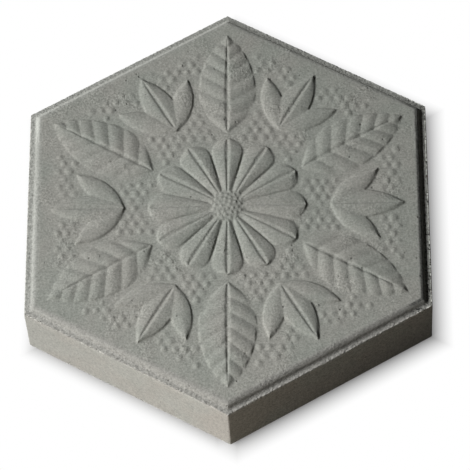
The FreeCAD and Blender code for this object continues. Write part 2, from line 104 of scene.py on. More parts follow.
LEAF_WIDEST = 0.42  # share of the length, from the base
LEAF_RIB = 0.12
LEAF_GRID = (112, 48)
LEAF_CELLS = 7  # puffed cells between the side veins
VEIN_DEPTH = 0.75 * MM
VEIN_SLANT = 66  # of the side veins against the rib at the base, in degrees
VEIN_SLANT_LOSS = 26  # from the base to the tip
BUD_BASE = FLOWER_RADIUS + 15.0 * MM
BUD_TIP = FACE_APOTHEM - 8.0 * MM
BUD_WIDTH = 19.0 * MM
BUD_RISE = 2.3 * MM
BUD_EDGE = 0.9 * MM
BUD_RIB = 0.2
BUD_GRID = (56, 28)
SEPAL_LENGTH = 39.0 * MM
SEPAL_WIDTH = 13.0 * MM
SEPAL_ANGLE = math.radians(40)
SEPAL_RISE = 1.9 * MM
SEPAL_EDGE = 0.8 * MM
SEPAL_GRID = (48, 20)
RIB_DEPTH = 0.9 * MM
ARCH = 0.6  # how much of its fall a motif has at the ends of its rib
LEAF_ARCH = 0.7
STRAIGHT_ACROSS = 89.0  # slant of a grid's columns against the rib, in degrees

# The beaded ground between the motifs.
BEAD_PITCH = 6.4 * MM
BEAD_RADIUS = 2.6 * MM
BEAD_RISE = 0.8 * MM
BEAD_GRID = (20, 10)
BEAD_CLEARANCE = 3.4 * MM
BEAD_UNEVENNESS = 0.22
BEADED_APOTHEM = FACE_APOTHEM - 10.0 * MM
LUCK = 7

# The cast skin.
VOXEL = 0.5 * MM
SWELL_SIZE = 30 * MM
SWELL_DEPTH = 0.2 * MM
SWELL_ZERO = 0.85  # the pattern's value that leaves the skin where it is
CRUMB_SIZE = 1.1 * MM
CRUMB_DEPTH = 0.6 * MM
CRUMB_ZERO = 0.88
SMOOTH_ANGLE = math.radians(50)
TRIANGLE_LIMIT = 194000


def activate(piece):
    """Makes one object the only selected one, and the active one."""
    if bpy.context.object and bpy.context.object.mode != "OBJECT":
        bpy.ops.object.mode_set(mode="OBJECT")
    bpy.ops.object.select_all(action="DESELECT")
    piece.select_set(True)
    bpy.context.view_layer.objects.active = piece


def edit(piece):
    """Opens a piece in edit mode with nothing selected."""
    activate(piece)
    bpy.ops.object.mode_set(mode="EDIT")
    bpy.ops.mesh.select_all(action="DESELECT")


def close_edit():
    bpy.ops.object.mode_set(mode="OBJECT")


def pick(piece, kind, wanted):
    """Selects the vertices, edges or faces for which wanted(element) is true."""
    mesh = bmesh.from_edit_mesh(piece.data)
    bpy.context.tool_settings.mesh_select_mode = (kind == "verts", kind == "edges", kind == "faces")
    mesh.select_mode = {{"verts": "VERT", "edges": "EDGE", "faces": "FACE"}[kind]}
    for elements in (mesh.verts, mesh.edges, mesh.faces):
        for element in elements:
            element.select = False
    for element in getattr(mesh, kind):
        if wanted(element):
            element.select_set(True)
    mesh.select_flush_mode()
    bmesh.update_edit_mesh(piece.data)


def join(pieces, name):
    """Joins the pieces into the first one."""
    activate(pieces[0])
    for piece in pieces:
        piece.select_set(True)
    bpy.ops.object.join()
    joined = bpy.context.object
    joined.name = name
    joined.data.name = name
    return joined


def settle(piece):
    """Puts a piece's place into its mesh, with its object at the origin."""
    activate(piece)
    bpy.ops.object.transform_apply(location=True, rotation=True, scale=True)


def ring(piece, distance, count, first_turn=0.0):
    """Copies a piece round the Z axis on the panel's face, each copy with its own mesh."""
    piece.location = (distance, 0, PANEL_TOP)
    settle(piece)
    copies = []
    for i in range(count):
        activate(piece)
        bpy.ops.object.duplicate(linked=False)
        copy = bpy.context.object
        copy.rotation_euler.z += first_turn + i * math.tau / count
        settle(copy)
        copies.append(copy)
    bpy.data.objects.remove(piece)
    return copies


def hexagonal_block(name, half_flats, top, depth):
    """A hexagonal block from a height down, with its corners on Y."""
    bpy.ops.object.select_all(action="DESELECT")
    bpy.ops.mesh.primitive_cylinder_add(
        vertices=6, radius=half_flats * 2 / math.sqrt(3), depth=depth, location=(0, 0, top - depth / 2)
    )
    block = bpy.context.object
    block.name = name
    settle(block)
    return block


def blunt(block, wanted, width, segments):
    """Rounds the edges of a block for which wanted(edge) is true."""
    edit(block)
    pick(block, "edges", wanted)
    bpy.ops.mesh.bevel(offset=width, segments=segments, profile=0.5)
    close_edit()


def make_slab():
    """The hexagonal slab up to its ledge, blunted there and down its corners.

    It has a foot that is cut off later.
    """
    slab = hexagonal_block("slab", HALF_FLATS, LEDGE_HEIGHT, LEDGE_HEIGHT + FOOT)
    blunt(slab, lambda e: max(v.co.z for v in e.verts) > LEDGE_HEIGHT - TINY, ARRIS, ARRIS_SEGMENTS)
    return slab


def make_panel():
    """The raised panel, its shoulder rounded down to the ledge, with its lower part in the slab."""
    panel = hexagonal_block("panel", FACE_APOTHEM + SHOULDER, PANEL_TOP, SHOULDER + 1 * MM)
    blunt(panel, lambda e: min(v.co.z for v in e.verts) > PANEL_TOP - TINY, SHOULDER, SHOULDER_SEGMENTS)
    edit(panel)
    pick(panel, "verts", lambda v: v.co.x > FACE_APOTHEM - TINY)
    bpy.ops.transform.resize(
        value=(RIGHT_STRETCH, 1, 1), center_override=(FACE_APOTHEM + SHOULDER, 0, 0)
    )
    close_edit()
    return panel


def arc_outline(length, width, widest):
    """Half width of a pointed leaf along its length: one arc up to its widest, one from there."""
    half = width / 2
    rise = widest * length
    fall = length - rise
    near = (rise ** 2 + half ** 2) / (2 * half)
    far = (fall ** 2 + half ** 2) / (2 * half)

    def half_width(x):
        x = min(max(x, 0.0), length)
        radius = near if x < rise else far
        return max(half - radius + math.sqrt(max(radius ** 2 - (x - rise) ** 2, 0.0)), 0.0)

    return half_width


def petal_outline(inner, outer, half_angle):
    """Half width of a petal along its length: straight sides, then a round tip."""
    centre = outer / (1 + math.sin(half_angle))
    radius = outer - centre
    meet = centre - radius * math.sin(half_angle)

    def half_width(x):
        distance = inner + x
        if distance < meet:
            return distance * math.tan(half_angle)
        return math.sqrt(max(radius ** 2 - (distance - centre) ** 2, 0.0))

    return half_width


def straight_across(share):
    return STRAIGHT_ACROSS


def dip(value, width):
    """1 at zero, falling smoothly to nothing at plus and minus width."""
    share = min(abs(value) / width, 1.0)
    return (1 - share * share) ** 2


def arched(rise, edge):
    """The height along a motif's rib, highest in its middle."""
    fall = rise - edge

    def lift(share):
        return rise - ARCH * fall * (2 * share - 1) ** 2

    return lift


def crowned(rise, edge, rib_width=0.0):
    """The height across a motif against its rib, with a groove along the rib if it has a width."""
    fall = rise - edge

    def crown(side):
        groove = RIB_DEPTH * dip(side, rib_width) if rib_width else 0.0
        return -fall * side ** 2 - groove

    return crown


def shaped_leaf(name, length, half_width, grid, slant, lift, crown):
    """A leaf-like solid along +X from the origin, its top shaped from a grid row by row.

    Each column of the grid starts on the rib and slants forwards at slant(share) degrees.
    lift(share) is the height along the leaf, crown(side) the height across it.
    """
    least = 1e-7
    columns, rows = grid
    bpy.ops.object.select_all(action="DESELECT")
    bpy.ops.mesh.primitive_grid_add(x_subdivisions=columns, y_subdivisions=rows, size=2)
    leaf = bpy.context.object
    leaf.name = name
    edit(leaf)
    shares = [i / columns for i in range(columns + 1)]
    sides = [2 * j / rows - 1 for j in range(rows + 1)]
    # Every row slides forwards by its distance from the rib, and every column then scales that.
    for j, side in enumerate(sides):
        pick(leaf, "verts", lambda v: v.index // (columns + 1) == j)
        bpy.ops.transform.translate(value=(abs(side), 0, crown(side)))
    for i, share in enumerate(shares):
        foot = 2 * share - 1
        place = share * length
        ahead = 1 / math.tan(math.radians(slant(share)))
        reach = half_width(place)
        # The column ends where it meets the outline, found by closing in on it.
        for _ in range(40):
            reach = 0.5 * reach + 0.5 * half_width(place + reach * ahead)
        pick(leaf, "verts", lambda v: v.index % (columns + 1) == i)
        scale = (max(reach * ahead, least), max(reach, least), 1)
        bpy.ops.transform.resize(value=scale, center_override=(foot, 0, 0))
        bpy.ops.transform.translate(value=(place - foot, 0, lift(share)))
    bpy.ops.mesh.select_all(action="SELECT")
    bpy.ops.mesh.extrude_region_move(TRANSFORM_OT_translate={"value": (0, 0, -1)})
    bpy.ops.transform.resize(value=(1, 1, 0), center_override=(0, 0, 0))
    bpy.ops.transform.translate(value=(0, 0, -ROOT))
    bpy.ops.mesh.select_all(action="SELECT")
    bpy.ops.mesh.remove_doubles(threshold=0.001 * MM)
    bpy.ops.mesh.normals_make_consistent(inside=False)
    close_edit()
    return leaf


def make_petals():
    half_angle = math.pi / PETALS - PETAL_GAP_ANGLE / 2
    outline = petal_outline(PETAL_BASE, FLOWER_RADIUS, half_angle)
    petal = shaped_leaf("petal", FLOWER_RADIUS - PETAL_BASE, outline, PETAL_GRID, straight_across,
                        arched(PETAL_RISE, PETAL_EDGE), crowned(PETAL_RISE, PETAL_EDGE, PETAL_RIB))
    return ring(petal, PETAL_BASE, PETALS)


def make_leaves():
    """Leaves towards the corners, with puffed cells between side veins that slant to the tip."""
    length = LEAF_TIP - LEAF_BASE
    fall = LEAF_RISE - LEAF_EDGE

    def puffed(share):
        arch = LEAF_ARCH * fall * (2 * share - 1) ** 2
        puff = math.sin(math.pi * LEAF_CELLS * share) ** 2
        return LEAF_RISE - arch - VEIN_DEPTH * (1 - puff ** 0.45)

    def slanting(share):
        return VEIN_SLANT - VEIN_SLANT_LOSS * share

    outline = arc_outline(length, LEAF_WIDTH, LEAF_WIDEST)
    leaf = shaped_leaf("leaf", length, outline, LEAF_GRID, slanting, puffed,
                       crowned(LEAF_RISE, LEAF_EDGE, LEAF_RIB))
    return ring(leaf, LEAF_BASE, MOTIFS, HALF_STEP)


def make_buds():
    length = BUD_TIP - BUD_BASE
    outline = arc_outline(length, BUD_WIDTH, LEAF_WIDEST)
    bud = shaped_leaf("bud", length, outline, BUD_GRID, straight_across,
                      arched(BUD_RISE, BUD_EDGE), crowned(BUD_RISE, BUD_EDGE, BUD_RIB))
    return ring(bud, BUD_BASE, MOTIFS)


def make_sepals(hand):
    outline = arc_outline(SEPAL_LENGTH, SEPAL_WIDTH, 0.5)
    sepal = shaped_leaf("sepal", SEPAL_LENGTH, outline, SEPAL_GRID, straight_across,
                        arched(SEPAL_RISE, SEPAL_EDGE), crowned(SEPAL_RISE, SEPAL_EDGE))
    sepal.rotation_euler.z = hand * SEPAL_ANGLE
    return ring(sepal, BUD_BASE, MOTIFS)


def ball_radius(radius, rise):
    """The radius of the ball whose cap has this radius and rise."""
    return (radius ** 2 + rise ** 2) / (2 * rise)


def make_cap(name, radius, rise, grid):
    """A low dome on the panel's face: the top of a ball, sunk in it by its root."""
    ball = ball_radius(radius, rise)
    rings, segments = grid
    bpy.ops.object.select_all(action="DESELECT")
    bpy.ops.mesh.primitive_uv_sphere_add(segments=segments, ring_count=rings, radius=ball)
    cap = bpy.context.object
    cap.name = name
    edit(cap)
    bpy.ops.mesh.select_all(action="SELECT")
    bpy.ops.mesh.bisect(
        plane_co=(0, 0, ball - rise - CAP_ROOT), plane_no=(0, 0, 1), use_fill=True, clear_inner=True
    )
    bpy.ops.mesh.select_all(action="SELECT")
    bpy.ops.transform.translate(value=(0, 0, PANEL_TOP + rise - ball))
    close_edit()
    return cap


def scattered(piece, places, name, unevenness=0.0):
    """One mesh with a copy of a small piece on the panel's face at every place."""
    luck = random.Random(LUCK)
    face = Vector((0, 0, PANEL_TOP))
    copies = []
    for place in places:
        across = 1 + luck.uniform(-unevenness, unevenness)
        high = 1 - luck.uniform(0, 2 * unevenness)
        slip = Vector((luck.uniform(-1, 1), luck.uniform(-1, 1), 0)) * 2 * MM * unevenness
        mesh = piece.data.copy()
        mesh.transform(Matrix.Translation(-face))
        mesh.transform(Matrix.Diagonal((across, across, high, 1)))
        mesh.transform(Matrix.Translation(place + slip + face))
        copy = bpy.data.objects.new(name, mesh)
        bpy.context.scene.collection.objects.link(copy)
        copies.append(copy)
    bpy.data.objects.remove(piece)
    return join(copies, name)


def make_boss():
    """The boss in the middle, with its seeds in a spiral."""
    boss = make_cap("boss", BOSS_RADIUS, BOSS_RISE, BOSS_GRID)
    seed = make_cap("seed", SEED_RADIUS, SEED_RISE, SEED_GRID)
    ball = ball_radius(BOSS_RADIUS, BOSS_RISE)
    golden = math.pi * (3 - math.sqrt(5))
    places = []
    for i in range(SEED_COUNT):
        radius = SEEDED_SHARE * BOSS_RADIUS * math.sqrt((i + 0.5) / SEED_COUNT)
        height = BOSS_RISE - (ball - math.sqrt(ball ** 2 - radius ** 2))
        places.append(Vector((radius * math.cos(i * golden), radius * math.sin(i * golden), height)))
    return [boss, scattered(seed, places, "seeds")]


def apothem(x, y):
    """Distance from the tile's centre, measured square to the nearest flat side."""
    return max(abs(x), abs(x / 2 + y * math.sqrt(3) / 2), abs(x / 2 - y * math.sqrt(3) / 2))


def bare_ground(motifs):
    """The places of a close-packed pattern of beads where the ground is free of other relief."""
    tree = BVHTree.FromObject(motifs, bpy.context.evaluated_depsgraph_get())
    down = Vector((0, 0, -1))
    directions = 12
    around = [Vector((0, 0, 0))]
    for i in range(directions):
        angle = i * math.tau / directions
        around.append(Vector((math.cos(angle), math.sin(angle), 0)) * BEAD_CLEARANCE)
    places = []
    steps = int(2 * CORNER_RADIUS / BEAD_PITCH)
    for row in range(-steps, steps + 1):
        for column in range(-steps, steps + 1):
            x = (column + 0.5 * (row % 2)) * BEAD_PITCH
            y = row * BEAD_PITCH * math.sqrt(3) / 2
            if apothem(x, y) > BEADED_APOTHEM or math.hypot(x, y) < FLOWER_RADIUS:
                continue
            above = Vector((x, y, PANEL_TOP + 20 * MM))
            if all(tree.ray_cast(above + side, down)[0] is None for side in around):
                places.append(Vector((x, y, 0)))
    return places


def add_modifier(piece, kind, **settings):
    """Adds one modifier with its settings and applies it."""
    activate(piece)
    modifier = piece.modifiers.new(kind.lower(), kind)
    for name, value in settings.items():
        setattr(modifier, name, value)
    bpy.ops.object.modifier_apply(modifier=modifier.name)


def roughen(piece, name, size, strength, mid_level, group):
    """Moves the skin in and out by a cloudy pattern of this size, within a vertex group."""
    texture = bpy.data.textures.new(name, "CLOUDS")
    texture.noise_scale = size
    texture.noise_depth = 2
    add_modifier(piece, "DISPLACE", texture=texture, texture_coords="LOCAL", strength=strength,
                 mid_level=mid_level, vertex_group=group)


def weigh(piece, name, weight):
    """A vertex group whose weights follow from each vertex's place."""
    group = piece.vertex_groups.new(name=name)
    for vertex in piece.data.vertices:
        value = weight(vertex.co)
        if value > 0.0:
            group.add([vertex.index], value, "REPLACE")
    return group.name


def rim_weight(place):
    """Full on the ledge's outer edge, fading over the ledge and down the side."""
    full = 0.6 * MM
    if place.z < LEDGE_HEIGHT - 3 * MM or place.z > LEDGE_HEIGHT + 0.5 * MM:
        return 0.0
    inwards = HALF_FLATS - apothem(place.x, place.y)
    across = 1.0 - max(inwards - full, 0.0) / LEDGE_WIDTH
    down = 1.0 - max(LEDGE_HEIGHT - full - place.z, 0.0) / (2 * MM)
    return max(min(across, down), 0.0)


def worn_weight(place):
    """Everything but the ledge's outer edge, which stays as sharp as it was cast."""
    sharp = 1.2 * MM
    if abs(place.z - LEDGE_HEIGHT) > sharp:
        return 1.0
    return 0.0 if HALF_FLATS - apothem(place.x, place.y) < sharp else 1.0


def standing_weight(place):
    """Everything but the flat back, which stays level on the floor."""
    return min(max(place.z - 0.4 * MM, 0.0) / (1 * MM), 1.0)


def cast(pieces):
    """Makes one skin of all the solids, as the mould does, and gives it the cast's unevenness."""
    tile = join(pieces, "pressed_tile")
    add_modifier(tile, "REMESH", mode="VOXEL", voxel_size=VOXEL, adaptivity=0.0)
    add_modifier(tile, "SMOOTH", factor=0.5, iterations=2, vertex_group=weigh(tile, "worn", worn_weight))
    edit(tile)
    bpy.ops.mesh.select_all(action="SELECT")
    bpy.ops.mesh.bisect(plane_co=(0, 0, 0), plane_no=(0, 0, 1), use_fill=True, clear_inner=True)
    close_edit()
    rim = weigh(tile, "rim", rim_weight)
    standing = weigh(tile, "standing", standing_weight)
    # Nearly all of both patterns lies below their zero level, so the skin moves inwards.
    roughen(tile, "swell", SWELL_SIZE, SWELL_DEPTH, SWELL_ZERO, standing)
    roughen(tile, "crumbs", CRUMB_SIZE, CRUMB_DEPTH, CRUMB_ZERO, rim)
    faces = sum(len(p.vertices) - 2 for p in tile.data.polygons)
    add_modifier(tile, "DECIMATE", ratio=TRIANGLE_LIMIT / faces)
    activate(tile)
    bpy.ops.object.shade_smooth_by_angle(angle=SMOOTH_ANGLE)
    return tile


def make_tile():
    motifs = make_petals() + make_leaves() + make_buds() + make_sepals(1) + make_sepals(-1)
    relief = join(motifs, "relief")
    bead = make_cap("bead", BEAD_RADIUS, BEAD_RISE, BEAD_GRID)
    beads = scattered(bead, bare_ground(relief), "beads", BEAD_UNEVENNESS)
    raised = join([make_panel(), relief, beads] + make_boss(), "raised")
    raised.location.y = PANEL_SLIP
    settle(raised)
    return cast([make_slab(), raised])


def node(tree, kind, **settings):
    made = tree.nodes.new(kind)
    for name, value in settings.items():
        setattr(made, name, value)
    return made


def feed(tree, socket, value):
    """Sets a socket to a plain value, or links another node's output to it."""
    if isinstance(value, bpy.types.NodeSocket):
        tree.links.new(value, socket)
    else:
        socket.default_value = value


def calc(tree, operation, *values):
    """One Math node on values or sockets."""
    made = node(tree, "ShaderNodeMath", operation=operation)
    for socket, value in zip(made.inputs, values):
        feed(tree, socket, value)
    return made.outputs[0]


def product(tree, first, *others):
    """All the values or sockets multiplied."""
    for other in others:
        first = calc(tree, "MULTIPLY", first, other)
    return first


def total(tree, first, *others):
    """All the values or sockets added up."""
    for other in others:
        first = calc(tree, "ADD", first, other)
    return first


def remap(tree, value, limits, start, end, easing="LINEAR"):
    """Brings a value from between two limits to between a start and an end, and no further."""
    made = node(tree, "ShaderNodeMapRange", interpolation_type=easing)
    low, high = limits
    settings = {"Value": value, "From Min": low, "From Max": high, "To Min": start, "To Max": end}
    for name, setting in settings.items():
        feed(tree, made.inputs[name], setting)
    return made.outputs["Result"]


def between(tree, value, rise, fall, peak=1.0):
    """Nothing before the rise, the peak from there to the fall, and nothing after it."""
    return product(tree, remap(tree, value, rise, 0.0, peak), remap(tree, value, fall, 1.0, 0.0))


def noise(tree, place, size, detail=2.0):
    """A cloudy pattern whose lumps are about this size, in metres."""
    made = node(tree, "ShaderNodeTexNoise")
    tree.links.new(place, made.inputs["Vector"])
    made.inputs["Scale"].default_value = 1 / size
    made.inputs["Detail"].default_value = detail
    return made.outputs[0]


def both_ways(tree, pattern):
    """A cloudy pattern brought to swing from -1 to 1."""
    return remap(tree, pattern, (0.3, 0.7), -1.0, 1.0)


def blend(tree, factor, first, second):
    """A mix of two colours or colour sockets."""
    made = node(tree, "ShaderNodeMix", data_type="RGBA")
    feed(tree, made.inputs["Factor"], factor)
    feed(tree, made.inputs[6], first)
    feed(tree, made.inputs[7], second)
    return made.outputs[2]


def plan_distance(tree, x, y, shift, slack):
    """Distance from a hexagon's middle, square to its nearest side.

    The hexagon is the tile's, shifted and made larger across X and across its other flats.
    """
    x = calc(tree, "SUBTRACT", x, shift[0])
    y = calc(tree, "SUBTRACT", y, shift[1])
    half_x = calc(tree, "MULTIPLY", x, 0.5)
    slant_y = calc(tree, "MULTIPLY", y, math.sqrt(3) / 2)
    one = calc(tree, "ABSOLUTE", calc(tree, "ADD", half_x, slant_y))
    two = calc(tree, "ABSOLUTE", calc(tree, "SUBTRACT", half_x, slant_y))
    straight = calc(tree, "SUBTRACT", calc(tree, "ABSOLUTE", x), slack[0])
    slanting = calc(tree, "SUBTRACT", calc(tree, "MAXIMUM", one, two), slack[1])
    return calc(tree, "MAXIMUM", straight, slanting)


class Spot:
    """Where a shaded point lies: its place, X, Y, its height, and how far outwards it is.

    Outwards is measured on the tile's hexagon, or on one that is shifted and larger.
    """

    def __init__(self, tree, shift=(0.0, 0.0), slack=(0.0, 0.0)):
        self.place = node(tree, "ShaderNodeTexCoord").outputs["Object"]
        split = node(tree, "ShaderNodeSeparateXYZ")
        tree.links.new(self.place, split.inputs[0])
        self.x = split.outputs["X"]
        self.y = split.outputs["Y"]
        self.height = split.outputs["Z"]
        self.outwards = plan_distance(tree, self.x, self.y, shift, slack)


def span(low, high, start=0.0):
    """Two limits in millimetres, counted from a start in metres."""
    return start + low * MM, start + high * MM


# The concrete's colours, each in a cooler and a warmer cast.
FACE_COLOURS = ((0.264, 0.275, 0.248, 1), (0.284, 0.283, 0.258, 1))
SIDE_COLOURS = ((0.498, 0.496, 0.459, 1), (0.504, 0.480, 0.440, 1))
LEDGE_COLOURS = ((0.277, 0.282, 0.261, 1), (0.284, 0.280, 0.260, 1))

# Its grain.
SAND_SIZE = 0.8 * MM
GRIT_SIZE = 1.5 * MM
MOTTLE_SIZE = 5 * MM
WEAR_SIZE = 22 * MM
PATCH_SIZE = 40 * MM
HOLE_PITCH = 7 * MM
SEAM_UNEVENNESS = 1.8 * MM
GRAIN_CONTRAST = 0.148
WORN_CONTRAST = 0.09
MOTTLE_CONTRAST = 0.045
SIDE_MOTTLE_CONTRAST = 0.075
LEAST_TONE = 0.06
HOLE_SHADE = 0.45

# Where its tone, with its painted highlights and painted shade, changes from one end of the tile to the
# other.
FRONT_Y = span(-80, -60)
BACK_Y = span(45, 60)
MIDDLE_X = span(0, 10)
RIGHT_X = span(108, 112)
RIGHT_ARRIS_X = span(105, 118)
FACE_EDGE = span(-2, 1, FACE_APOTHEM)


def backing_share(tree, spot, grit, mottle):
    """0 on the fine facing mix, 1 on the coarser and warmer backing below an uneven seam."""
    uneven = product(tree, calc(tree, "SUBTRACT", total(tree, grit, mottle), 1.0), SEAM_UNEVENNESS)
    inwards = product(tree, calc(tree, "SUBTRACT", HALF_FLATS, spot.outwards), 0.5)
    seam = total(tree, spot.height, inwards, uneven)
    return remap(tree, seam, span(-0.45, -0.05, LEDGE_HEIGHT), 1.0, 0.0)


def concrete_colour(tree, spot, backing, edge, front):
    """The colour before its tone: the face in patches, the ledge, and the sides in patches."""
    tint = remap(tree, noise(tree, spot.place, PATCH_SIZE, 3.0), (0.4, 0.6), 0.0, 1.0)
    face = blend(tree, tint, *FACE_COLOURS)
    side = blend(tree, tint, *SIDE_COLOURS)
    ledge = blend(tree, front, *LEDGE_COLOURS)
    return blend(tree, backing, blend(tree, edge, face, ledge), side)


def worn_share(tree, spot, backing):
    """1 where the facing is rough: in patches of the face, and on the ledge's crumbly edge."""
    rim = product(tree, remap(tree, spot.outwards, span(-6, -3, HALF_FLATS), 0.0, 1.0),
                  remap(tree, spot.height, span(-1.5, -0.5, LEDGE_HEIGHT), 0.0, 1.0))
    patches = remap(tree, noise(tree, spot.place, WEAR_SIZE, 2.0), (0.52, 0.68), 0.0, 1.0)
    return product(tree, calc(tree, "MAXIMUM", patches, rim), calc(tree, "SUBTRACT", 1.0, backing))


def grain_tone(tree, spot, backing, worn, sand, grit, mottle):
    """Sand, grit and mottling, more of each on the shaded side."""
    on_the_side = product(tree, backing, remap(tree, spot.x, MIDDLE_X, -0.02, 0.05))
    contrast = total(tree, GRAIN_CONTRAST, product(tree, worn, WORN_CONTRAST), on_the_side)
    grain = product(tree, both_ways(tree, sand), contrast)
    flecks = product(tree, both_ways(tree, grit), contrast, 0.9)
    side_mottle = remap(tree, spot.x, MIDDLE_X, MOTTLE_CONTRAST, SIDE_MOTTLE_CONTRAST)
    mottling = remap(tree, backing, (0.0, 1.0), MOTTLE_CONTRAST, side_mottle)
    return total(tree, grain, flecks, product(tree, both_ways(tree, mottle), mottling))


def shoulder_painted_highlight(tree, spot):
    """Painted highlights on the shoulder: a pale band low on it, and a stronger one on the two back sides.
    """
    # Painted highlight low on the shoulder.
    painted_low_highlight = between(tree, spot.height, span(0.1, 0.6, LEDGE_HEIGHT), span(1.8, 2.8, LEDGE_HEIGHT))
    highlight_strength = calc(tree, "MINIMUM", remap(tree, spot.y, FRONT_Y, 0.08, 0.18),
                    remap(tree, spot.y, span(-60, 60), 0.18, 0.06))
    rise, fall = span(0.6, 1.4, FACE_APOTHEM), span(0.3, 1.3, SHOULDER_FOOT)
    # Painted highlight on the shoulder of the two back sides.
    painted_back_highlight = product(tree, between(tree, spot.outwards, rise, fall, 0.45),
                   remap(tree, spot.y, BACK_Y, 0.0, 1.0))
    return total(tree, product(tree, painted_low_highlight, highlight_strength), painted_back_highlight)


def arris_pits_and_painted_highlight(tree, spot, grit):
    """The arris's dark pits, and a painted highlight on the arris, both far stronger on the right."""
    band = product(tree, remap(tree, spot.outwards, span(-1.0, -0.65, HALF_FLATS), 0.0, 1.0),
                   remap(tree, spot.height, span(-1.0, -0.6, LEDGE_HEIGHT), 0.0, 1.0))
    pitted = remap(tree, spot.x, RIGHT_ARRIS_X, -0.25, -0.8)
    # Painted highlight on the arris, strongest on the shaded right.
    painted_arris_highlight = remap(tree, spot.x, RIGHT_ARRIS_X, 0.16, 2.2)
    return product(tree, band, remap(tree, grit, (0.34, 0.46), pitted, painted_arris_highlight))


def painted_crease_shade(tree, spot, front, right):
    """Painted shade: dark lines at the shoulder's foot and top, at the front right and on the right, and a
    painted shadow on the right-hand ledge.
    """
    low = remap(tree, spot.height, span(1, 2, LEDGE_HEIGHT), 1.0, 0.0)
    foot = product(tree, low, remap(tree, spot.outwards, span(1, 2.5, SHOULDER_FOOT), 1.0, 0.0))
    top = between(tree, spot.outwards, span(-0.3, 0.6, FACE_APOTHEM), span(1.8, 2.6, FACE_APOTHEM))
    front_right = product(tree, front, remap(tree, spot.x, span(-5, 10), 0.0, 1.0))
    where = calc(tree, "MAXIMUM", front_right, product(tree, top, right, 3.0))
    # Painted shade in the creases, where the shoulder's shadow falls.
    shade_lines = product(tree, calc(tree, "MAXIMUM", foot, top), where, -0.2)
    # Painted shadow on the inner part of the right-hand ledge.
    ledge = remap(tree, spot.outwards, span(2.8, 3.6, SHOULDER_FOOT), 1.0, 0.0)
    return calc(tree, "MINIMUM", shade_lines, product(tree, ledge, low, right, -0.17))


def chips_and_painted_shade(tree, spot, backing, right, grit):
    """What the dark flecks on the right-hand ledge leave of the tone: chips, and painted shade where the
    light grazes the grain.
    """
    # Chips and painted shade, on the right-hand ledge only.
    ledge = product(tree, right, remap(tree, spot.outwards, span(0, 0.6, SHOULDER_FOOT), 0.0, 1.0))
    strength = product(tree, ledge, remap(tree, backing, (0.0, 1.0), 0.75, 0.0),
                       remap(tree, spot.y, span(-20, 20), 1.0, 0.5))
    return remap(tree, grit, (0.37, 0.43), calc(tree, "SUBTRACT", 1.0, strength), 1.0)


def air_holes(tree, spot):
    """Small round holes at random places, some deeper than others."""
    cells = node(tree, "ShaderNodeTexVoronoi", feature="F1")
    tree.links.new(spot.place, cells.inputs["Vector"])
    cells.inputs["Scale"].default_value = 1 / HOLE_PITCH
    chance = node(tree, "ShaderNodeSeparateColor")
    tree.links.new(cells.outputs["Color"], chance.inputs[0])
    depth = remap(tree, chance.outputs[0], (0.2, 1.0), 0.0, 1.0)
    return product(tree, remap(tree, cells.outputs["Distance"], (0.04, 0.13), 1.0, 0.0, "SMOOTHSTEP"), depth)


def painted_light_gradient(tree, spot, backing, edge):
    """Painted light and shade: what the tone gains towards the front, and loses to the left and low on the
    right side.
    """
    # Painted shade on the face's left part, away from its edge.
    painted_left_shade = product(tree, remap(tree, spot.x, span(-110, -30), -0.09, 0.0),
                   calc(tree, "SUBTRACT", 1.0, edge))
    face = total(tree, remap(tree, spot.y, span(-120, 120), 0.03, -0.06), painted_left_shade)
    # Painted shade low on the right side near the floor and painted light high on it; the sides also get
    # painted light towards the front corner.
    low = remap(tree, spot.x, span(0, 110), 0.06, -0.38)
    high = remap(tree, spot.x, span(0, 110), 0.0, 0.08)
    side = total(tree, remap(tree, spot.y, span(-144, -72), 0.07, -0.07),
                 remap(tree, spot.height, (0.0, LEDGE_HEIGHT), low, high))
    return total(tree, 1.0, remap(tree, backing, (0.0, 1.0), face, side))


